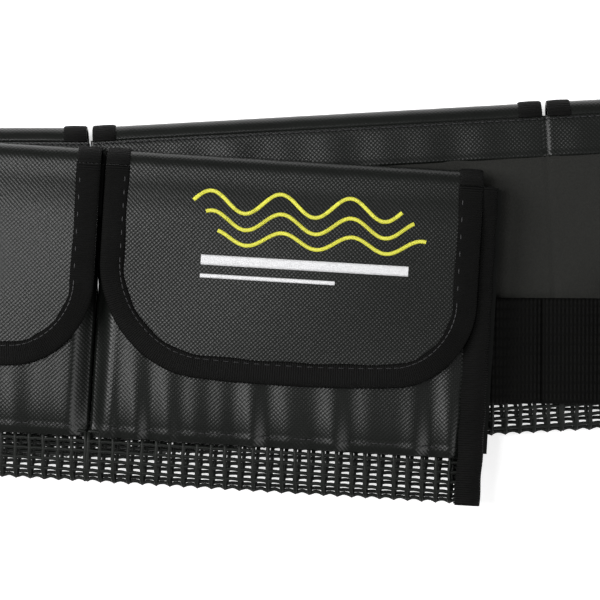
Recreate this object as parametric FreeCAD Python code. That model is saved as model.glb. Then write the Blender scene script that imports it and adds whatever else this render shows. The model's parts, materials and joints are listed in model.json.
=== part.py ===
"""Dive weight belt: five flapped weight pockets on a webbing carrier, lying folded in two.

Lengths are millimetres. Every pocket is drawn in its own belt frame: u runs along the belt,
v across it from the bottom of the mesh to the top fold, and n outward from the inner face
that touches the diver. The lower run lies with its outer face down. The upper run is folded
back over it with its outer face up.
"""
import FreeCAD
import Part
import math
import os

V = FreeCAD.Vector

# --- driving dimensions -------------------------------------------------------------------
POCKET_WIDTH = 188.0        # four of the pockets, seam to seam
WIDE_WIDTH = 216.0          # the pocket for the small of the back
BELT_HEIGHT = 158.0         # mesh bottom to the top fold
MESH_HEIGHT = 25.0
SEAM_HEIGHT = 150.0         # top of the back panel, where the flap's fold is sewn on
FACING_HEIGHT = 18.0        # coated strip along the top of the inner face
MOUTH_HEIGHT = 128.0        # upper edge of the pocket front
FLAP_DROP = 105.0
FLAP_CORNER = 34.0
FLAP_BOW = 5.0              # the flap's lower edge bows down this far in the middle
BINDING_WIDTH = 11.0
STRIP_HALF = 50.0           # half the length of the hook and loop strips
LOOP_REACH = (68.0, 94.0)   # the strips stay above the flap binding's lower band
HOOK_REACH = (70.0, 92.0)
WEB_WIDTH = 50.0
WEB_MIDDLE = 74.0           # height of the webbing's centre line
UPPER_TURN = 6.6            # the upper run lies turned this far, in degrees, on the lower one
SKEW = math.tan(math.radians(3.22))   # the pocket beside the fold is skewed along the belt
STRAP_LENGTH = 60.0
STRAP_TURN = 3.5
TAIL_LENGTH = 290.0

# --- the stack of layers, measured outward from the inner face ------------------------------
BACK = (0.0, 2.0)
WEB = (2.2, 4.0)
REAR = (4.2, 5.0)
POCKET = (5.1, 13.3)
CLOTH = 0.8
LOOP = (13.35, 14.2)
HOOK = (14.45, 15.35)
FLAP = (15.4, 16.6)
BINDING = (14.8, 17.2)
HINGE = (157.0, 16.0)       # v and n of the line that a flap turns on
HINGE_GAP = 1.4
SEAM_GAP = 0.35             # each pocket stops this far short of the seam line
LAYER_GAP = 0.8             # between the inner faces of the two runs
THICKNESS = BINDING[1]

FOLD_X = -POCKET_WIDTH
FOLD_PIVOT_V = BELT_HEIGHT / 2
FOLD_TURN = (UPPER_TURN + math.degrees(math.atan(SKEW))) / 2   # the fold line leans by this
FOLD_MARGINS = {2: 3.5, 3: 8.0}   # how far these pockets stay clear of the fold


def turned(x, y, degrees):
    """The vector x, y turned anticlockwise."""
    a = math.radians(degrees)
    return x * math.cos(a) - y * math.sin(a), x * math.sin(a) + y * math.cos(a)


class Lower:
    """The lower run: u is measured from the seam between the wide pocket and the skewed one."""

    def __init__(self, skew=0.0):
        self.skew = skew

    def point(self, u, v, n):
        return V(u, v - self.skew * u, THICKNESS - n)


class Upper:
    """The upper run: u is measured from the fold."""

    def point(self, u, v, n):
        x, y = turned(u, v - FOLD_PIVOT_V, -UPPER_TURN)
        pivot_y = FOLD_PIVOT_V - SKEW * FOLD_X
        return V(FOLD_X + x, pivot_y + y, THICKNESS + LAYER_GAP + n)


def prism(place, outline, levels):
    """A sheet with that outline in u and v, from one level of n to the other.

    An outline entry is a corner, or a pair of points: one on an arc, and the arc's end.
    """
    def at(p):
        return place.point(p[0], p[1], levels[0])
    edges = []
    last = at(outline[0])
    for entry in list(outline[1:]) + [outline[0]]:
        if isinstance(entry[0], tuple):
            end = at(entry[1])
            edges.append(Part.Arc(last, at(entry[0]), end).toShape())
        else:
            end = at(entry)
            edges.append(Part.makeLine(last, end))
        last = end
    face = Part.Face(Part.Wire(edges))
    rise = place.point(0, 0, levels[1]) - place.point(0, 0, levels[0])
    return face.extrude(rise)


def sheet(place, u, v, levels):
    """A rectangular sheet between two values of u and two of v."""
    corners = [(u[0], v[0]), (u[1], v[0]), (u[1], v[1]), (u[0], v[1])]
    return prism(place, corners, levels)


def flap_outline(u, inset):
    """The flap's outline, inset from its edge: straight sides, round corners, a bowed foot."""
    left, right = u[0] + inset, u[1] - inset
    top = HINGE[0] - HINGE_GAP
    foot = HINGE[0] - FLAP_DROP + inset
    radius = FLAP_CORNER - inset
    corner = foot + FLAP_BOW
    slack = radius * (1 - math.sqrt(0.5))
    middle = (left + right) / 2
    return [
        (left, top),
        (left, corner + radius),
        ((left + slack, corner + slack), (left + radius, corner)),
        ((middle, foot), (right - radius, corner)),
        ((right - slack, corner + slack), (right, corner + radius)),
        (right, top),
    ]


def pocket(place, u):
    """The pieces of one pocket, between two seams at u."""
    inner = (u[0] + SEAM_GAP, u[1] - SEAM_GAP)
    tall = (MESH_HEIGHT, MOUTH_HEIGHT)
    side = (POCKET[0], POCKET[1] - CLOTH)
    front = Part.makeCompound([
        sheet(place, inner, tall, (side[1], POCKET[1])),
        sheet(place, (inner[0], inner[0] + CLOTH), tall, side),
        sheet(place, (inner[1] - CLOTH, inner[1]), tall, side),
    ])
    skirt = (CLOTH, MESH_HEIGHT - 0.1)
    mesh = Part.makeCompound([
        sheet(place, inner, skirt, (side[1], POCKET[1])),
        sheet(place, inner, (0, CLOTH), (0.1, POCKET[1])),
        sheet(place, inner, skirt, (0.1, 0.1 + CLOTH)),
    ])
    strip = (BELT_HEIGHT - 1.2, BELT_HEIGHT)
    fold = Part.makeCompound([
        sheet(place, inner, (SEAM_HEIGHT + 0.1, BELT_HEIGHT), (0, 1.2)),
        sheet(place, inner, strip, (1.2, HINGE[1] - 2.4)),
    ])

    edge = (u[0] + 1.0, u[1] - 1.0)
    cloth = prism(place, flap_outline(edge, 1.5), FLAP)
    binding = prism(place, flap_outline(edge, 0.0), BINDING)
    binding = binding.cut(prism(place, widened_top(flap_outline(edge, BINDING_WIDTH)), BINDING))
    binding = binding.cut(cloth)

    middle = (u[0] + u[1]) / 2
    across = (middle - STRIP_HALF, middle + STRIP_HALF)
    return {
        "front_panel": front,
        "mesh_gusset": mesh,
        "flap_fold": fold,
        "loop_strip": sheet(place, across, LOOP_REACH, LOOP),
        "flap": cloth,
        "flap_binding": binding,
        "hook_strip": sheet(place, across, HOOK_REACH, HOOK),
    }


def widened_top(outline):
    """The same outline with its top edge raised, so that a cut runs out past the binding."""
    raised = list(outline)
    raised[0] = (raised[0][0], raised[0][1] + 5)
    raised[-1] = (raised[-1][0], raised[-1][1] + 5)
    return raised


def carrier(place, u):
    """The carrier's layers along one straight stretch of belt."""
    inner = (u[0] + SEAM_GAP, u[1] - SEAM_GAP)
    top_facing = SEAM_HEIGHT - FACING_HEIGHT
    web = (WEB_MIDDLE - WEB_WIDTH / 2, WEB_MIDDLE + WEB_WIDTH / 2)
    return {
        "back_panel": sheet(place, inner, (MESH_HEIGHT, top_facing - 0.1), BACK),
        "top_facing": sheet(place, inner, (top_facing, SEAM_HEIGHT), BACK),
        "webbing": sheet(place, inner, web, WEB),
        "rear_sheet": sheet(place, inner, (MESH_HEIGHT, SEAM_HEIGHT), REAR),
    }


def end_binding(place, u, outward):
    """Tape over the belt's end: a wall past the last pocket and a lip over its front."""
    wall = sorted((u + outward * 0.1, u + outward * 1.1))
    lip = sorted((u - outward * 10.5, u + outward * 1.1))
    levels = (0.1, LOOP[1] - 0.2)
    web = (WEB_MIDDLE - WEB_WIDTH / 2 - 1, WEB_MIDDLE + WEB_WIDTH / 2 + 1)
    tape = sheet(place, wall, (0, SEAM_HEIGHT), levels)
    tape = tape.fuse(sheet(place, lip, (0, SEAM_HEIGHT), (POCKET[1] + 0.05, levels[1])))
    slot = sheet(place, (wall[0] - 0.05, wall[1] + 1), web, (WEB[0] - 0.2, WEB[1] + 0.2))
    return tape.cut(slot).removeSplitter()


def move(shape, origin, degrees):
    """A shape drawn about the origin, turned about +Z and put at a point."""
    placed = shape.copy()
    placed.rotate(V(0, 0, 0), V(0, 0, 1), degrees)
    placed.translate(origin)
    return placed


# --- the buckle, drawn with x along its strap, y across it and z up --------------------------
WEB_THICK = WEB[1] - WEB[0]
BAR_RADIUS = 2.5
LOOP_INNER = BAR_RADIUS + 0.3
LOOP_OUTER = LOOP_INNER + WEB_THICK
BUCKLE_LENGTH = 68.0
BUCKLE_WIDTH = 64.0
STEEL = 2.0
PIN_X = 50.0                # from the bar's centre
PIN_RADIUS = 2.5
PIN_RISE = 8.0              # above the bar's centre
CAM_RADIUS = 5.8
LEVER_WIDTH = BUCKLE_WIDTH - 2 * STEEL - 1.0
BORE_CLEARANCE = 0.05


def bar_across(radius, x, z, width):
    return Part.makeCylinder(radius, width, V(x, -width / 2, z), V(0, 1, 0))


def profile_across(points, width):
    """A closed outline in x and z, extruded across the buckle."""
    corners = [V(x, -width / 2, z) for x, z in points]
    return Part.Face(Part.makePolygon(corners + corners[:1])).extrude(V(0, width, 0))


def strap():
    """The short strap: flat webbing, sewn back on itself round the buckle's bar."""
    flat = Part.makeBox(STRAP_LENGTH, WEB_WIDTH, WEB_THICK, V(0, -WEB_WIDTH / 2, 0))
    loop = bar_across(LOOP_OUTER, STRAP_LENGTH, LOOP_OUTER, WEB_WIDTH)
    upper_ply = profile_across([
        (STRAP_LENGTH - 42, WEB_THICK), (STRAP_LENGTH, WEB_THICK),
        (STRAP_LENGTH, 2 * LOOP_OUTER), (STRAP_LENGTH - 16, 2 * WEB_THICK),
        (STRAP_LENGTH - 42, 2 * WEB_THICK)], WEB_WIDTH)
    whole = flat.fuse([loop, upper_ply]).removeSplitter()
    hole = bar_across(LOOP_INNER, STRAP_LENGTH, LOOP_OUTER, WEB_WIDTH + 2)
    return whole.cut(hole)


def buckle_frame():
    """Pressed steel frame: base plate, two side walls with ears for the pin, and a round bar."""
    plate = Part.makeBox(BUCKLE_LENGTH - 10, BUCKLE_WIDTH, STEEL,
                         V(6, -BUCKLE_WIDTH / 2, -STEEL / 2))
    window = Part.makeBox(22, WEB_WIDTH + 2, STEEL * 2, V(10, -WEB_WIDTH / 2 - 1, -STEEL))
    plate = plate.cut(window)
    foot = -LOOP_OUTER + 0.4
    outline = [(-4, foot), (BUCKLE_LENGTH - 4, foot), (BUCKLE_LENGTH - 4, 4),
               (PIN_X + 8, PIN_RISE + 6), (PIN_X - 8, PIN_RISE + 6), (PIN_X - 22, 5), (-4, 5)]
    wall = Part.Face(Part.makePolygon([V(x, 0, z) for x, z in outline + outline[:1]]))
    near = wall.extrude(V(0, STEEL, 0))
    near.translate(V(0, -BUCKLE_WIDTH / 2, 0))
    far = wall.extrude(V(0, STEEL, 0))
    far.translate(V(0, BUCKLE_WIDTH / 2 - STEEL, 0))
    rear_bar = bar_across(BAR_RADIUS, 0, 0, BUCKLE_WIDTH)
    frame = plate.fuse([near, far, rear_bar]).removeSplitter()
    return frame.cut(bar_across(PIN_RADIUS + BORE_CLEARANCE, PIN_X, PIN_RISE, BUCKLE_WIDTH + 4))


def buckle_pin():
    """The pin that the lever turns on, with a flat head outside each ear."""
    shaft = bar_across(PIN_RADIUS, PIN_X, PIN_RISE, BUCKLE_WIDTH + 0.4)
    heads = []
    for side in (-1, 1):
        start = V(PIN_X, side * (BUCKLE_WIDTH / 2 + 0.1), PIN_RISE)
        heads.append(Part.makeCylinder(4.0, 1.4, start, V(0, side, 0)))
    return shaft.fuse(heads).removeSplitter()


def buckle_lever():
    """The lever: a toothed cam round the pin and a plate that lies back over the frame."""
    cam = bar_across(CAM_RADIUS, PIN_X, PIN_RISE, LEVER_WIDTH)
    top = PIN_RISE + CAM_RADIUS
    plate = profile_across([
        (PIN_X, top), (PIN_X - 30, top - 1.5), (PIN_X - 46, top - 5),
        (PIN_X - 53, top - 4), (PIN_X - 53, top - 6.2), (PIN_X - 46, top - 7.2),
        (PIN_X - 30, top - 3.7), (PIN_X, top - 2.2)], LEVER_WIDTH)
    lever = cam.fuse(plate).removeSplitter()
    for tooth in range(5):
        angle = math.radians(-120 + 12 * tooth)
        x = PIN_X + (CAM_RADIUS + 0.35) * math.cos(angle)
        z = PIN_RISE + (CAM_RADIUS + 0.35) * math.sin(angle)
        lever = lever.cut(bar_across(0.7, x, z, LEVER_WIDTH + 2))
    return lever.cut(bar_across(PIN_RADIUS + BORE_CLEARANCE, PIN_X, PIN_RISE, LEVER_WIDTH + 4))


def tail():
    """The free end of the webbing: it drops to the table past the last pocket and lies flat."""
    level = THICKNESS - WEB[1]
    reach = 45.0
    under = [(0, level), (4, level), (reach, 0.2), (TAIL_LENGTH - 30, 0.2), (TAIL_LENGTH, 0.2)]
    over = [(x, z + WEB_THICK) for x, z in reversed(under)]
    strip = profile_across(under + over, WEB_WIDTH)
    corner = 12.0
    for side in (-1, 1):
        block = Part.makeBox(corner, corner, 10, V(TAIL_LENGTH - corner, 0, -2))
        round_off = Part.makeCylinder(corner, 12, V(TAIL_LENGTH - corner, 0, -3))
        block.translate(V(0, side * (WEB_WIDTH / 2 - corner) - (corner if side < 0 else 0), 0))
        round_off.translate(V(0, side * (WEB_WIDTH / 2 - corner), 0))
        strip = strip.cut(block.cut(round_off))
    return strip


def beyond_fold():
    """Everything on the far side of the fold line, which the carrier's layers stop at."""
    size = 400.0
    block = Part.makeBox(size, size, size, V(-size + SEAM_GAP, -size / 2, -size / 2))
    return move(block, V(FOLD_X, FOLD_PIVOT_V - SKEW * FOLD_X, 0), -FOLD_TURN)


def build():
    """Every node's shape, in a frame whose origin is at the skewed pocket's seam."""
    nodes = {}
    upper, lower, skewed = Upper(), Lower(), Lower(SKEW)
    ends = POCKET_WIDTH * 2
    spans = {
        1: (upper, (POCKET_WIDTH, ends)),
        2: (upper, (0.0, POCKET_WIDTH)),
        3: (skewed, (FOLD_X, 0.0)),
        4: (lower, (0.0, WIDE_WIDTH)),
        5: (lower, (WIDE_WIDTH, WIDE_WIDTH + POCKET_WIDTH)),
    }
    for number, (place, span) in spans.items():
        clear = (span[0] + FOLD_MARGINS.get(number, 0.0), span[1])
        for name, shape in pocket(place, clear).items():
            nodes[f"{name}_{number}"] = shape
    for number in (1, 2, 3):
        for name, shape in carrier(*spans[number]).items():
            nodes[f"{name}_{number}"] = shape.cut(beyond_fold()) if number > 1 else shape
    for name, shape in carrier(lower, (0.0, WIDE_WIDTH + POCKET_WIDTH)).items():
        nodes[f"{name}_4_5"] = shape
    nodes["end_binding_near"] = end_binding(upper, ends, 1)
    nodes["end_binding_far"] = end_binding(lower, WIDE_WIDTH + POCKET_WIDTH, 1)

    start = upper.point(ends + 3.3, WEB_MIDDLE, 0.2)
    nodes["buckle_strap"] = move(strap(), start, -STRAP_TURN)
    along = turned(STRAP_LENGTH, 0, -STRAP_TURN)
    bar = start + V(along[0], along[1], LOOP_OUTER)
    for name, shape in (("buckle_frame", buckle_frame()), ("buckle_pin", buckle_pin()),
                        ("buckle_lever", buckle_lever())):
        nodes[name] = move(shape, bar, -STRAP_TURN)
    tail_start = V(WIDE_WIDTH + POCKET_WIDTH + 3.3, WEB_MIDDLE, 0)
    nodes["webbing_tail"] = move(tail(), tail_start, 0)
    return nodes, start, bar, tail_start


def main():
    nodes, start, bar, tail_start = build()
    box = Part.makeCompound(list(nodes.values())).BoundBox
    shift = V(-(box.XMin + box.XMax) / 2, -(box.YMin + box.YMax) / 2, -box.ZMin)
    os.makedirs("parts", exist_ok=True)
    for name, shape in nodes.items():
        placed = shape.copy()
        placed.translate(shift)
        if not placed.isValid() or not placed.Solids:
            raise ValueError(f"{name} is not a closed solid")
        placed.exportStep(f"parts/{name}.step")
    print("nodes", len(nodes))
    print("shift", [round(c, 4) for c in shift])
    print("box", round(box.XLength, 2), round(box.YLength, 2), round(box.ZLength, 2))
    for label, point in (("strap", start), ("bar", bar), ("tail", tail_start)):
        print(label, [round(c, 4) for c in point + shift])


main()
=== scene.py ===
import bpy
import json
import math
import random
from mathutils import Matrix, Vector


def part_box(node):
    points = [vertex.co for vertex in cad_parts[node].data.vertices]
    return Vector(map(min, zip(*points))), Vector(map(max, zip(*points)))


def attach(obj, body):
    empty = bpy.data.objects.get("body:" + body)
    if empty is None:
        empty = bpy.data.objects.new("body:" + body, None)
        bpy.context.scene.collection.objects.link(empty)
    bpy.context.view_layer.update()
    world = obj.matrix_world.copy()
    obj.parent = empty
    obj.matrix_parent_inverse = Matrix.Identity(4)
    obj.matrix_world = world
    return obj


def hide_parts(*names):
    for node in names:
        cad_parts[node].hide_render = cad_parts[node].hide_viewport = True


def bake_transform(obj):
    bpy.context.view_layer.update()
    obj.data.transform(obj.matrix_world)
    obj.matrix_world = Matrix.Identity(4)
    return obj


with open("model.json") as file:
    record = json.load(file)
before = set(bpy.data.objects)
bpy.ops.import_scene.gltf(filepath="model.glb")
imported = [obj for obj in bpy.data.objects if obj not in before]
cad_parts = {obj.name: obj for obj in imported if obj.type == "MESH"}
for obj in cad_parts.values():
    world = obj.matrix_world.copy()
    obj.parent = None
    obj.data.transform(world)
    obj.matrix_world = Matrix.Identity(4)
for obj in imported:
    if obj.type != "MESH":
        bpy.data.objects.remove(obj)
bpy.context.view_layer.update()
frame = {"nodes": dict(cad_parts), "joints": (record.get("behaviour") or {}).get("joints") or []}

# --- the belt's own measures, in millimetres; at() turns them into the row frame ------------
POCKET_WIDTH, WIDE_WIDTH = 188.0, 216.0
BELT_HEIGHT, MIDDLE = 158.0, 79.0
THICKNESS, LAYER_GAP = 17.2, 0.8
UPPER_TURN = math.radians(6.6)
SKEW = math.tan(math.radians(3.22))
FOLD_LEAN = (UPPER_TURN + math.atan(SKEW)) / 2
SEAM = 150.0                 # the stitched line along the top of the inner face
FACING_FOOT = 131.5
HEM = 22.5                   # lower edge of the pocket fronts
FLAP_FOOT = 52.0
ROLL_RADIUS = 6.7            # the flap's rounded fold
ROLL_DROP = 1.8              # the flap rises this much from its fold to its flat part
TAPE = 11.0
WEB_MIDDLE, WEB_HALF = 74.0, 25.0
NEAR_END_TRIM = 3.5          # the near end's cloth is drawn in this far from the last wall
NEAR_END_INSET = 6.5         # the end tape shows this far past the last flap
FLAP_INSET = 1.3             # elsewhere a flap stops this far short of the seam
CORNER_RADII = (48.0, 36.0)  # the flap's left and right lower corners
NET_PITCH, NET_ROWS = 6.7, 5
THREAD_STEP = 0.42           # between the threads of the embroidery
RIDGES = 11                  # across the webbing
MM = 0.001

joints = {j["name"]: j for j in frame["joints"]}
fold = Vector(joints["fold_hinge"]["pos_m"])
seam_origin = fold + Vector((POCKET_WIDTH, -MIDDLE - SKEW * POCKET_WIDTH, 0)) * MM


class Lower:
    """The run that lies below, outer face down."""
    body = "rear_run"

    def __init__(self, skew=0.0):
        self.skew = skew

    def at(self, u, v, n):
        x, y = seam_origin.x + u * MM, seam_origin.y + (v - self.skew * u) * MM
        return Vector((x, y, (THICKNESS - n) * MM))


class Upper:
    """The run folded back over it, outer face up."""
    body = "front_run"

    def at(self, u, v, n):
        c, s, dv = math.cos(UPPER_TURN), math.sin(UPPER_TURN), v - MIDDLE
        x, y = fold.x + (u * c + dv * s) * MM, fold.y + (dv * c - u * s) * MM
        return Vector((x, y, (THICKNESS + LAYER_GAP + n) * MM))


UPPER, LOWER, SKEWED = Upper(), Lower(), Lower(SKEW)
POCKETS = {
    1: (UPPER, POCKET_WIDTH, 2 * POCKET_WIDTH - NEAR_END_TRIM),
    2: (UPPER, 3.5, POCKET_WIDTH),
    3: (SKEWED, 8.0 - POCKET_WIDTH, 0.0),
    4: (LOWER, 0.0, WIDE_WIDTH),
    5: (LOWER, WIDE_WIDTH, WIDE_WIDTH + POCKET_WIDTH),
}
CARRIERS = {
    "1": (UPPER, POCKET_WIDTH, 2 * POCKET_WIDTH - NEAR_END_TRIM, 0.0),
    "2": (UPPER, 0.0, POCKET_WIDTH, math.tan(FOLD_LEAN - UPPER_TURN)),
    "3": (SKEWED, -POCKET_WIDTH, 0.0, math.tan(FOLD_LEAN)),
    "4_5": (LOWER, 0.0, WIDE_WIDTH + POCKET_WIDTH, 0.0),
}


# --- materials ------------------------------------------------------------------------------
def material(name, color, roughness, build=None, **sockets):
    """A procedural material: build(nodes, links, uv) returns (height, tone, bump distance)."""
    mat = bpy.data.materials.new(name)
    mat.use_nodes = True
    nodes, links = mat.node_tree.nodes, mat.node_tree.links
    shader = nodes["Principled BSDF"]
    shader.inputs["Roughness"].default_value = roughness
    shader.inputs["Base Color"].default_value = (*color, 1)
    for socket, value in sockets.items():
        shader.inputs[socket.replace("_", " ")].default_value = value
    if build:
        coordinates = nodes.new("ShaderNodeTexCoord")
        height, tone, distance = build(nodes, links, coordinates)
        bump = nodes.new("ShaderNodeBump")
        bump.inputs["Strength"].default_value = 1.0
        bump.inputs["Distance"].default_value = distance
        links.new(height, bump.inputs["Height"])
        links.new(bump.outputs[0], shader.inputs["Normal"])
        ramp = nodes.new("ShaderNodeValToRGB")
        ramp.color_ramp.elements[0].color = (*[c * 0.55 for c in color], 1)
        ramp.color_ramp.elements[1].color = (*[min(1, c * 1.5) for c in color], 1)
        links.new(tone, ramp.inputs[0])
        links.new(ramp.outputs[0], shader.inputs["Base Color"])
    return mat


def math_node(nodes, links, operation, a, b):
    node = nodes.new("ShaderNodeMath")
    node.operation = operation
    for socket, value in zip(node.inputs, (a, b)):
        if isinstance(value, (int, float)):
            socket.default_value = value
        else:
            links.new(value, socket)
    return node.outputs[0]


def ribs(nodes, links, uv, axis, pitch_mm):
    """Sine ribs across one axis of the UV map, which is in metres."""
    split = nodes.new("ShaderNodeSeparateXYZ")
    links.new(uv.outputs["UV"], split.inputs[0])
    turns = math_node(nodes, links, "MULTIPLY", split.outputs[axis], 2 * math.pi / (pitch_mm * MM))
    return math_node(nodes, links, "SINE", turns, 0)


def noise(nodes, links, coordinates, scale, detail=3.0):
    node = nodes.new("ShaderNodeTexNoise")
    node.inputs["Scale"].default_value = scale
    node.inputs["Detail"].default_value = detail
    links.new(coordinates.outputs["Object"], node.inputs["Vector"])
    return node.outputs[0]


def woven(across, along, distance, blotch=14.0):
    """A plain weave: threads that rise in turn, with a slow change of tone."""
    def build(nodes, links, uv):
        weave = math_node(nodes, links, "MULTIPLY", ribs(nodes, links, uv, 0, across),
                          ribs(nodes, links, uv, 1, along))
        grain = noise(nodes, links, uv, 900.0)
        height = math_node(nodes, links, "ADD", weave, math_node(nodes, links, "MULTIPLY", grain, 0.5))
        slow = noise(nodes, links, uv, blotch)
        lift = math_node(nodes, links, "MULTIPLY", weave, 0.18)
        return height, math_node(nodes, links, "ADD", slow, lift), distance
    return build


def ribbed(pitch, axis, distance):
    def build(nodes, links, uv):
        rib = ribs(nodes, links, uv, axis, pitch)
        grain = noise(nodes, links, uv, 1400.0)
        return (math_node(nodes, links, "ADD", rib, grain),
                math_node(nodes, links, "ADD", noise(nodes, links, uv, 60.0),
                          math_node(nodes, links, "MULTIPLY", rib, 0.12)), distance)
    return build


def speckled(scale, distance):
    def build(nodes, links, uv):
        fine = noise(nodes, links, uv, scale, 6.0)
        return fine, fine, distance
    return build


def brushed(nodes, links, uv):
    stretch = nodes.new("ShaderNodeMapping")
    stretch.inputs["Scale"].default_value = (30, 2500, 800)
    links.new(uv.outputs["Object"], stretch.inputs[0])
    grain = nodes.new("ShaderNodeTexNoise")
    grain.inputs["Scale"].default_value = 1.0
    links.new(stretch.outputs[0], grain.inputs["Vector"])
    return grain.outputs[0], grain.outputs[0], 0.00002


COATED = material("coated_weave", (0.0048, 0.0056, 0.0048), 0.34, woven(2.0, 2.0, 0.00004),
                  Specular_IOR_Level=0.3)
BINDING = material("binding_tape", (0.0030, 0.0030, 0.0028), 0.7, ribbed(1.1, 0, 0.00016),
                   Specular_IOR_Level=0.1)
WEBBING = material("webbing", (0.0015, 0.0015, 0.0013), 0.65, ribbed(1.9, 0, 0.00012),
                   Specular_IOR_Level=0.06)
LINING = material("lining", (0.018, 0.0182, 0.0165), 0.9, speckled(1500.0, 0.00025),
                  Specular_IOR_Level=0.15, Sheen_Weight=0.06)
NETTING = material("netting", (0.006, 0.0072, 0.006), 0.5, speckled(900.0, 0.0001),
                   Specular_IOR_Level=0.2)
THREAD = material("black_thread", (0.012, 0.012, 0.013), 0.5, speckled(2500.0, 0.00005))
YELLOW = material("yellow_thread", (0.72, 0.68, 0.07), 0.45, speckled(2500.0, 0.00005))
WHITE = material("white_thread", (0.72, 0.72, 0.76), 0.45, speckled(2500.0, 0.00005))
FUZZ = material("hook_and_loop", (0.012, 0.012, 0.013), 0.95, speckled(1800.0, 0.0006))
STEEL = material("brushed_steel", (0.55, 0.55, 0.56), 0.3, brushed, Metallic=1.0)
FLOOR = material("floor", (0.93, 0.93, 0.93), 0.8, Emission_Color=(1, 1, 1, 1),
                 Emission_Strength=0.55)


# --- mesh makers ----------------------------------------------------------------------------
def piece(name, verts, faces, uvs, mat, slot):
    mesh = bpy.data.meshes.new(name)
    mesh.from_pydata([tuple(v) for v in verts], [], faces)
    layer = mesh.uv_layers.new(name="UVMap")
    for loop in mesh.loops:
        layer.data[loop.index].uv = uvs[loop.vertex_index]
    mesh.materials.append(mat)
    obj = bpy.data.objects.new(name, mesh)
    bpy.context.scene.collection.objects.link(obj)
    for polygon in mesh.polygons:
        polygon.use_smooth = True
    return obj


def cloth(name, place, surface, columns, rows, thickness, mat, slot):
    """A thickened sheet: surface(s, t) gives (u, v, n, uv along, uv across), all millimetres."""
    verts, uvs, faces = [], [], []
    for j in range(rows + 1):
        for i in range(columns + 1):
            u, v, n, a, b = surface(i / columns, j / rows)
            verts.append(place.at(u, v, n))
            uvs.append((a * MM, b * MM))
    for j in range(rows):
        for i in range(columns):
            k = j * (columns + 1) + i
            faces.append((k, k + 1, k + columns + 2, k + columns + 1))
    obj = piece(name, verts, faces, uvs, mat, slot)
    solid = obj.modifiers.new("thickness", "SOLIDIFY")
    solid.thickness, solid.offset = thickness * MM, 0
    evaluated = obj.evaluated_get(bpy.context.evaluated_depsgraph_get())
    mesh = bpy.data.meshes.new_from_object(evaluated)
    obj.modifiers.clear()
    obj.data = mesh
    return obj


def loft(rings):
    """Faces and UVs through rings of points, with both ends capped."""
    size = len(rings[0])
    verts, uvs, faces, along = [], [], [], 0.0
    for r, ring in enumerate(rings):
        if r:
            along += (ring[0] - rings[r - 1][0]).length
        around = 0.0
        for k, p in enumerate(ring):
            around += (p - ring[k - 1]).length if k else 0.0
            verts.append(p)
            uvs.append((along, around))
    for r in range(len(rings) - 1):
        for k in range(size):
            a, b = r * size + k, r * size + (k + 1) % size
            faces.append((a, b, b + size, a + size))
    faces.append(tuple(reversed(range(size))))
    faces.append(tuple(range((len(rings) - 1) * size, len(rings) * size)))
    return verts, faces, uvs


class Heap:
    """Many small closed shapes gathered into one mesh."""

    def __init__(self):
        self.verts, self.faces, self.uvs = [], [], []

    def add(self, verts, faces, uvs):
        base = len(self.verts)
        self.verts += verts
        self.uvs += uvs
        self.faces += [tuple(i + base for i in f) for f in faces]

    def tube(self, points, radius, sides=6, flat=1.0):
        rings = []
        for i, p in enumerate(points):
            d = (points[min(i + 1, len(points) - 1)] - points[max(i - 1, 0)]).normalized()
            side = d.cross(Vector((0, 0, 1)))
            side = side.normalized() if side.length > 0.05 else Vector((1, 0, 0))
            up = side.cross(d)
            rings.append([p + (side * math.cos(a) + up * math.sin(a) * flat) * radius * MM
                          for a in [2 * math.pi * k / sides for k in range(sides)]])
        self.add(*loft(rings))

    def stitch(self, a, b, radius, rise):
        """One sewn stitch from a to b, bowed up by rise in millimetres."""
        lift = Vector((0, 0, rise * MM))
        tips = [a.lerp(b, t) + lift * h for t, h in ((0, 0), (0.22, 0.9), (0.78, 0.9), (1, 0))]
        self.tube(tips, radius, 5)

    def finish(self, name, mat, slot):
        return piece(name, self.verts, self.faces, self.uvs, mat, slot)


def smooth(x):
    x = min(1.0, max(0.0, x))
    return x * x * (3 - 2 * x)


def seam_stitches(name, place, v, u0, u1, n, outward, body):
    """A straight row of stitches along the belt."""
    heap = Heap()
    u, side = u0 + 1.5, -1 if place.body == "rear_run" else 1
    while u + 2.6 < u1:
        heap.stitch(place.at(u, v, n), place.at(u + 2.6, v, n), 0.28, 0.3 * outward * side)
        u += 3.4
    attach(heap.finish(name, THREAD, "webbing"), body)


# --- flap: cloth over a rounded fold, tape round its edge -------------------------------------
def flap_shape(u0, u1):
    """foot(u): the flap's lower edge, with a wide left corner and a tighter right one."""
    left, right = u0 + FLAP_INSET, u1 - (NEAR_END_INSET if u1 == POCKETS[1][2] else FLAP_INSET)

    def foot(u):
        middle, half = (left + right) / 2, (right - left) / 2
        v = FLAP_FOOT + 6.0 * abs((u - middle) / half) ** 2.2
        for near, radius in ((u - left, CORNER_RADII[0]), (right - u, CORNER_RADII[1])):
            if near < radius:
                v += radius * (1 - math.sqrt(max(0.0, 1 - (1 - near / radius) ** 2)))
        return v
    return left, right, foot


def flap_level(u, v, seed):
    """The flap's slow swell."""
    swell = math.sin(u * 0.045 + seed) * math.sin(v * 0.06 + seed * 2)
    return 15.75 + 0.32 * swell - crown_drop(v)


def crown_drop(v):
    """How far the flap lies below its flat part at this height."""
    return ROLL_DROP * smooth((v - 126.0) / 24.0)


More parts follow.
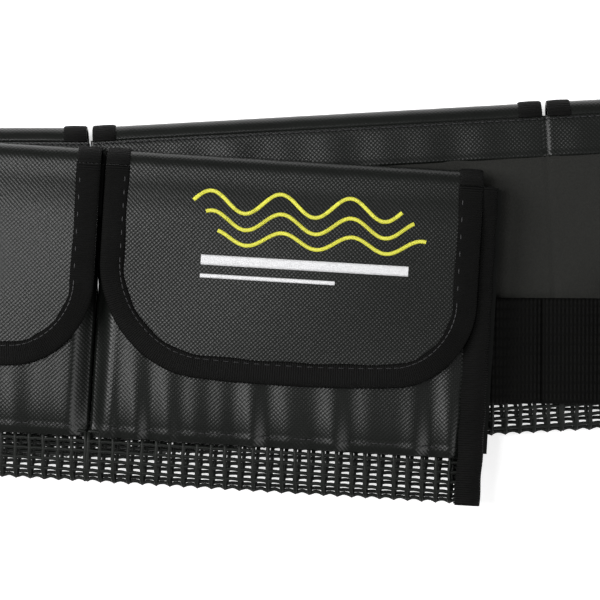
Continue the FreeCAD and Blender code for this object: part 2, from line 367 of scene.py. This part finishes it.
def make_flap(k, place, u0, u1):
    left, right, foot = flap_shape(u0, u1)
    turn = math.pi * ROLL_RADIUS

    def surface(s, t):
        u = left + (right - left) * (0.5 - 0.5 * math.cos(math.pi * s))
        drop = SEAM + 0.5 - (foot(u) + 0.7)
        run = t * (turn + drop)
        if run < turn:
            angle = run / ROLL_RADIUS - math.pi / 2
            v = SEAM + 0.5 + ROLL_RADIUS * math.cos(angle)
            n = 7.3 + ROLL_RADIUS * math.sin(angle)
            n += 0.25 * math.sin(u * 0.35 + k) * math.sin(u * 0.11) * math.cos(angle)
        else:
            v = SEAM + 0.5 - (run - turn)
            n = 14.0 + (flap_level(u, v, k) - 14.0) * smooth((run - turn) / 12)
        return u, v, n, u, run
    flap = cloth(f"flap_cloth_{k}", place, surface, 90, 84, 0.9, COATED, "coated_fabric")
    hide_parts(f"flap_{k}", f"flap_fold_{k}")
    across_fold(flap, k, place, (u0 + u1) / 2)

    make_roll_tape(k, place, left, right)

    path = [(left, SEAM + 0.3 - i * (SEAM - foot(left)) / 14) for i in range(14)]
    count = 110
    for i in range(count + 1):
        u = left + (right - left) * (0.5 - 0.5 * math.cos(math.pi * i / count))
        path.append((u, foot(u)))
    path += [(right, foot(right) + (i + 1) * (SEAM + 0.3 - foot(right)) / 14) for i in range(14)]
    section = [(-0.2, 15.7), (0.1, 16.5), (0.9, 17.0), (3, 17.12), (6, 17.15), (TAPE - 1, 17.05),
               (TAPE, 16.5), (TAPE, 15.3), (TAPE - 1, 14.95), (4, 14.9), (0.8, 14.95)]
    rings, stitches = [], Heap()
    for i, (u, v) in enumerate(path):
        du = path[min(i + 1, len(path) - 1)][0] - path[max(i - 1, 0)][0]
        dv = path[min(i + 1, len(path) - 1)][1] - path[max(i - 1, 0)][1]
        size = math.hypot(du, dv) or 1.0
        inward = (-dv / size, du / size)
        wave = 0.25 * math.sin(i * 0.55 + k)
        rings.append([place.at(u + inward[0] * (w + wave * (w > 5)),
                               v + inward[1] * (w + wave * (w > 5)), n - crown_drop(v))
                      for w, n in section])
        if i % 2 == 0 and 0 < i < len(path) - 2:
            side = -1 if place.body == "rear_run" else 1
            spot = [place.at(u + inward[0] * (TAPE - 1.8) + du / size * d,
                             v + inward[1] * (TAPE - 1.8) + dv / size * d, 17.08 - crown_drop(v))
                    for d in (-1.2, 1.2)]
            stitches.stitch(spot[0], spot[1], 0.25, 0.02 * side)
    tape = piece(f"flap_tape_{k}", *loft(rings), BINDING, "binding_tape")
    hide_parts(f"flap_binding_{k}")
    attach(tape, f"pocket_flap_{k}")
    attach(stitches.finish(f"flap_tape_stitches_{k}", THREAD, "binding_tape"), f"pocket_flap_{k}")


def make_roll_tape(k, place, left, right):
    """The edge tape's ends, carried round the fold to the top seam behind."""
    for side, u0 in (("left", left), ("right", right - TAPE)):
        rings = []
        for j in range(25):
            angle = math.pi * (j / 24 - 0.5)
            ring = []
            for w, rise in ((0, 0.3), (0.1, 1.0), (0.9, 1.35), (TAPE / 2, 1.5), (TAPE - 0.9, 1.35),
                            (TAPE, 0.9), (TAPE, 0.1), (TAPE / 2, -0.1)):
                reach = ROLL_RADIUS + rise
                ring.append(place.at(u0 + w, SEAM + 0.5 + reach * math.cos(angle),
                                     7.3 + reach * math.sin(angle)))
            rings.append(ring)
        tape = piece(f"roll_tape_{side}_{k}", *loft(rings), BINDING, "binding_tape")
        across_fold(tape, k, place, u0)


def across_fold(obj, k, place, u):
    """Bakes the piece's placement into its mesh. Two points at the fold are worked out and not used; the
    cloth is neither split at its fold nor tied to the flap or the belt.
    """
    tuple(place.at(u, BELT_HEIGHT, 6.0))
    tuple(place.at(u, 147.0, 17.0))
    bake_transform(obj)


# --- pocket front, with its gathers and hem ---------------------------------------------------
def make_front(k, place, u0, u1):
    rng = random.Random(40 + k)
    folds = [(rng.uniform(0.12, 0.5), rng.uniform(0, 6.3), rng.uniform(0.35, 0.8)) for _ in range(6)]

    def surface(s, t):
        u = u0 + 0.6 + (u1 - u0 - 1.2) * s
        v = HEM + (126.0 - HEM) * t ** 1.35
        side = min(u - u0, u1 - u)
        n = 5.6 + 7.3 * smooth(side / 10.0)
        gather = sum(a * math.sin(f * u + p + 0.02 * v) for f, p, a in folds)
        n += gather * math.exp(-(v - HEM) / 24.0) * smooth(side / 14.0) * 0.8
        n -= 3.4 * math.exp(-(v - HEM) / 7.0) * smooth(side / 10.0)
        n += 0.5 * smooth((27.0 - v) / 0.8)
        return u, v, min(n, 14.6), u, v
    front = cloth(f"pocket_front_{k}", place, surface, 150, 46, 0.8, COATED, "coated_fabric")
    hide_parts(f"front_panel_{k}")
    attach(front, place.body)


# --- drain netting: two layers of knitted strands joined round the bottom -----------------------
def make_netting(k, place, u0, u1):
    top = 24.5
    count = round((u1 - u0) / NET_PITCH)
    pitch = (u1 - u0) / count
    heap = Heap()
    rng = random.Random(70 + k)
    leans = [rng.uniform(-0.3, 0.3) for _ in range(count + 1)]

    def spot(u, a, sag=0.0):
        v = top - (top - 1.6) * math.sin(a) ** 0.8 - sag
        n = 5.4 + 3.2 * math.cos(a)
        shift = 2.4 * (a / math.pi - 0.5) + 0.2 * math.sin(v + u)
        return place.at(min(max(u + shift, u0 + 0.2), u1 - 0.2), max(v, 0.9), n)
    for i in range(count + 1):
        u = u0 + i * pitch + leans[i]
        heap.tube([spot(u, math.pi * j / 20) for j in range(21)], 0.95, 6, 0.6)
    front = [math.asin((i / NET_ROWS) ** 1.25) for i in range(NET_ROWS + 1)]
    back = [math.pi - math.asin(((i + 0.5) / NET_ROWS) ** 1.25) for i in range(NET_ROWS)]
    for a in front + back:
        scallop = 1.1 if abs(a - math.pi / 2) < 0.01 else 0.4
        steps = [u0 + (u1 - u0) * j / (count * 6) for j in range(count * 6 + 1)]
        line = [spot(u, a, -scallop * abs(math.sin(math.pi * (u - u0) / pitch))) for u in steps]
        heap.tube(line, 0.85, 6, 0.6)
    net = heap.finish(f"netting_{k}", NETTING, "drain_mesh")
    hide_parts(f"mesh_gusset_{k}")
    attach(net, place.body)


# --- inner face: padded lining, coated facing with a folded lip ----------------------------------
def make_carrier(key, place, u0, u1, lean):
    def start(v):
        return u0 + 0.4 + lean * (v - MIDDLE)

    def divider(u):
        return 0.9 * math.exp(-((u - WIDE_WIDTH) / 0.8) ** 2) if key == "4_5" else 0.0

    def lining(s, t):
        v = HEM - 0.5 + (FACING_FOOT + 1.5 - HEM) * t
        u = start(v) + (u1 - 0.4 - start(v)) * s
        edge = min(v - HEM + 0.5, 40.0, (u - u0) + 6, (u1 - u) + 6)
        n = 1.35 - 0.55 * smooth(edge / 9.0) + 0.14 * math.sin(u * 0.09) * math.sin(v * 0.07)
        n += divider(u)
        return u, v, n, u, v
    pad = cloth(f"lining_{key}", place, lining, 300, 40, 1.2, LINING, "lining")
    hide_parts(f"back_panel_{key}")
    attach(pad, place.body)

    def facing(s, t):
        v = FACING_FOOT + (SEAM + 1.0 - FACING_FOOT) * t
        u = start(v) + (u1 - 0.4 - start(v)) * s
        lip = math.exp(-((v - FACING_FOOT - 1.2) / 1.1) ** 2)
        wave = 0.22 * math.sin(u * 0.21) * math.sin(u * 0.057 + 1) * smooth((SEAM - v) / 6)
        n = 0.62 - 0.42 * lip + wave + 0.35 * math.exp(-((v - SEAM) / 0.9) ** 2)
        n += divider(u)
        return u, v, n, u, v
    strip = cloth(f"facing_{key}", place, facing, 320, 22, 0.7, COATED, "coated_fabric")
    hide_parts(f"top_facing_{key}")
    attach(strip, place.body)
    seam_stitches(f"top_seam_{key}", place, SEAM - 0.6, start(SEAM), u1, 0.2, -1, place.body)


# --- tape folded over the belt's two ends --------------------------------------------------------
def make_end_tape(name, node, place, u):
    """Cross-section from the front, round the end wall, to the inner face, swept up the end."""
    section = [(-TAPE, 13.6), (-TAPE, 14.3), (-1.6, 14.3), (0.2, 13.7), (0.9, 12.4), (0.9, 1.8),
               (0.2, 0.5), (-1.6, 0.1), (-TAPE, 0.1), (-TAPE, 0.7), (-2.4, 0.8), (-0.6, 2.4),
               (-0.5, 11.8), (-2.0, 13.4)]
    rings = []
    for j in range(61):
        v = 0.5 + (SEAM - 0.5) * j / 60
        dip = 4.2 * math.exp(-v / 14.0)
        wave = 0.22 * math.sin(v * 0.33)
        rings.append([place.at(u + w + wave, v, n - (dip if n > 8 else 0)) for w, n in section])
    tape = piece(name, *loft(rings), BINDING, "binding_tape")
    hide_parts(node)
    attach(tape, place.body)


# --- webbing -------------------------------------------------------------------------------------
def webbing(name, path, across, half, mat, round_end=0.0):
    """A ribbed strap: path is centre points in metres, across the unit vector over its width."""
    thick = 1.5
    steps = RIDGES * 6
    rings, total = [], sum((b - a).length for a, b in zip(path, path[1:]))
    run = 0.0
    for i, p in enumerate(path):
        run += (p - path[i - 1]).length if i else 0.0
        d = (path[min(i + 1, len(path) - 1)] - path[max(i - 1, 0)]).normalized()
        up = d.cross(across).normalized() * -1
        left = (total - run) / MM
        width = half
        if left < round_end:
            width = half - round_end + math.sqrt(max(0.0, round_end ** 2 - (round_end - left) ** 2))
        ring = []
        for side in (1, -1):
            for j in range(steps + 1):
                x = (2 * j / steps - 1) * side
                ridge = 0.42 * abs(math.sin(math.pi * RIDGES * (x + 1) / 2)) * (abs(x) < 0.99)
                lift = side * (thick / 2 + ridge - 0.2 - 0.35 * smooth((abs(x) - 0.95) / 0.05))
                ring.append(p + across * (x * width * MM) + up * (lift * MM))
        rings.append(ring)
    return piece(name, *loft(rings), mat, "webbing")


def resample(points, step):
    """The same line with points at most a step apart, rounded by averaging."""
    fine = []
    for a, b in zip(points, points[1:]):
        count = max(1, int((b - a).length / step))
        fine += [a.lerp(b, i / count) for i in range(count)]
    fine.append(points[-1])
    for _ in range(3):
        fine = [fine[0]] + [(a + b * 2 + c) / 4 for a, b, c in zip(fine, fine[1:], fine[2:])] + [fine[-1]]
    return fine


def make_buckle_strap():
    hinge = joints["strap_hinge"]
    across = -Vector(hinge["axis"]).normalized()
    along = Vector((across.y, -across.x, 0))
    low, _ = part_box("buckle_strap")
    base = Vector(hinge["pos_m"])
    ground = low.z + 0.9 * MM
    flat_end, radius = 58.5, 3.7
    bar = base + along * (61.6 * MM)
    bar.z = ground + radius * MM
    path = [Vector((*(base + along * (x * MM)).xy, z)) for x, z in
            ((-14, base.z), (-4, base.z), (4, ground + 0.6 * MM), (12, ground), (flat_end, ground))]
    for j in range(1, 17):
        a = -math.pi / 2 + math.radians(235) * j / 16
        path.append(bar + along * (math.cos(a) * radius * MM) + Vector((0, 0, math.sin(a) * radius * MM)))
    back = bar - along * (12 * MM)
    path += [Vector((*back.xy, ground + 2.4 * MM)),
             Vector((*(bar - along * (40 * MM)).xy, ground + 1.9 * MM))]
    strap = webbing("buckle_webbing", resample(path, 0.0012), across, WEB_HALF, WEBBING)
    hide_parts("buckle_strap")
    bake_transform(strap)


def make_tail():
    low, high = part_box("webbing_tail")
    middle, top = (low.y + high.y) / 2, high.z - 0.9 * MM
    floor_level = 1.1 * MM
    path = [(-0.012, top), (0.004, top), (0.018, top * 0.62), (0.036, floor_level + 0.002),
            (0.052, floor_level), (high.x - low.x, floor_level)]
    line = resample([Vector((low.x + x, middle, z)) for x, z in path], 0.0012)
    tail = webbing("tail_webbing", line, Vector((0, 1, 0)), WEB_HALF, WEBBING, 11.0)
    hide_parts("webbing_tail")
    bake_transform(tail)


# --- the fold: one coated sheet passes from run to run -------------------------------------------
def make_fold_wrap():
    lean = Vector((math.sin(FOLD_LEAN), math.cos(FOLD_LEAN), 0))
    outward = Vector((-lean.y, lean.x, 0))
    rings, radius = [], 8.2
    for j in range(25):
        a = math.pi * (j / 24 - 0.5)
        spots = []
        for thickness in (0.0, 1.0):
            reach = radius + thickness
            for i in range(31):
                v = (-54 + 124 * (i if thickness == 0 else 30 - i) / 30) * MM
                spots.append(fold + lean * v + outward * (math.cos(a) * reach * MM * 0.72)
                             + Vector((0, 0, math.sin(a) * reach * MM)))
        rings.append(spots)
    wrap = piece("fold_wrap", *loft(rings), COATED, "coated_fabric")
    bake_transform(wrap)


# --- embroidery: a row of swells over two bars, no lettering -------------------------------------
def satin(heap, place, path, width, lift):
    """Short raised threads laid side by side across a path given in u and v."""
    for i in range(1, len(path) - 1):
        (u0, v0), (u, v), (u1, v1) = path[i - 1], path[i], path[i + 1]
        size = math.hypot(u1 - u0, v1 - v0) or 1.0
        across = (-(v1 - v0) / size, (u1 - u0) / size)
        level = flap_level(u, v, 1) + lift
        a = place.at(u - across[0] * width / 2, v - across[1] * width / 2, level)
        b = place.at(u + across[0] * width / 2, v + across[1] * width / 2, level)
        heap.stitch(a, b, 0.3, 0.22)


def evenly(curve, step):
    """Points about a step apart along curve(t), t from 0 to 1."""
    rough = [curve(i / 600) for i in range(601)]
    kept, gap = [rough[0]], 0.0
    for a, b in zip(rough, rough[1:]):
        gap += math.hypot(b[0] - a[0], b[1] - a[1])
        if gap >= step:
            kept.append(b)
            gap = 0.0
    return kept


def make_emblem():
    u0 = POCKET_WIDTH
    yellow, white = Heap(), Heap()
    for lane, (base, swing) in enumerate(((136.0, 5.0), (127.5, 4.2), (119.5, 3.4))):
        def swell(t):
            return u0 + 43 + 6 * lane + 98 * t, base + swing * math.sin(6.0 * math.pi * t + lane)
        satin(yellow, UPPER, evenly(swell, THREAD_STEP), 1.6, 0.5)
    for v, left, right, width in ((108.5, 48, 146, 4.6), (101.0, 48, 112, 1.7)):
        satin(white, UPPER, [(u0 + left + THREAD_STEP * i, v)
                              for i in range(int((right - left) / THREAD_STEP))],
              width, 0.5)
    for name, heap, mat in (("emblem_waves", yellow, YELLOW), ("emblem_bars", white, WHITE)):
        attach(heap.finish(name, mat, "coated_fabric"), "pocket_flap_1")


# --- put together --------------------------------------------------------------------------------
for number, (run, first, last) in POCKETS.items():
    make_flap(number, run, first, last)
    make_front(number, run, first, last)
    make_netting(number, run, first, last)
    seam_stitches(f"hem_stitches_{number}", run, 27.2, first + 6, last - 6, 11.6, 1, run.body)
for carrier, (run, first, last, lean) in CARRIERS.items():
    make_carrier(carrier, run, first, last, lean)
make_end_tape("near_end_tape", "end_binding_near", UPPER, 2 * POCKET_WIDTH - NEAR_END_TRIM)
make_end_tape("far_end_tape", "end_binding_far", LOWER, WIDE_WIDTH + POCKET_WIDTH)
make_buckle_strap()
make_tail()
make_fold_wrap()
make_emblem()

FINISHES = {"buckle_frame": STEEL, "buckle_lever": STEEL, "buckle_pin": STEEL, "rear_sheet": COATED,
            "webbing_": WEBBING, "hook_strip": FUZZ, "loop_strip": FUZZ}
for node, obj in frame["nodes"].items():
    for prefix, mat in FINISHES.items():
        if node.startswith(prefix):
            obj.data.materials.clear()
            obj.data.materials.append(mat)

# --- stage ---------------------------------------------------------------------------------------
bpy.ops.mesh.primitive_plane_add(size=8.0, location=(0, 0, -0.0005))
floor = bpy.context.object
floor.name = "floor"
floor.data.materials.append(FLOOR)


def area_light(name, location, aim, size, power):
    light = bpy.data.lights.new(name, "AREA")
    light.shape, light.size, light.energy = "SQUARE", size, power
    obj = bpy.data.objects.new(name, light)
    obj.location = location
    obj.rotation_euler = (Vector(aim) - Vector(location)).to_track_quat("-Z", "Y").to_euler()
    bpy.context.scene.collection.objects.link(obj)


AIM_U, AIM_V = 95.2, 70.2    # the middle of the view, on the lower run
TOP_LEVEL = 0.034            # the height at which the view is VIEW_WIDTH across
aim = LOWER.at(AIM_U, AIM_V, 0)
area_light("key", (aim.x - 1.3, aim.y + 0.5, 1.1), aim, 0.9, 28)
area_light("fill", (aim.x + 1.9, aim.y - 0.9, 1.3), aim, 1.6, 27)
area_light("sheen", (aim.x - 0.45, aim.y + 0.12, 1.35), aim, 0.35, 7.0)
world = bpy.data.worlds.new("studio")
world.use_nodes = True
world.node_tree.nodes["Background"].inputs[0].default_value = (1, 1, 1, 1)
world.node_tree.nodes["Background"].inputs[1].default_value = 0.2
bpy.context.scene.world = world
bpy.context.scene.view_settings.view_transform = "Standard"

CAMERA_HEIGHT, VIEW_WIDTH, VIEW_TURN = 1.3, 0.2804, math.radians(3.2)
camera = bpy.data.cameras.new("camera")
camera.sensor_width = 36.0
camera.lens = 36.0 * (CAMERA_HEIGHT - TOP_LEVEL) / VIEW_WIDTH
camera_object = bpy.data.objects.new("camera", camera)
camera_object.location = (aim.x, aim.y, CAMERA_HEIGHT)
camera_object.rotation_euler = (0, 0, -VIEW_TURN)
bpy.context.scene.collection.objects.link(camera_object)
bpy.context.scene.camera = camera_object
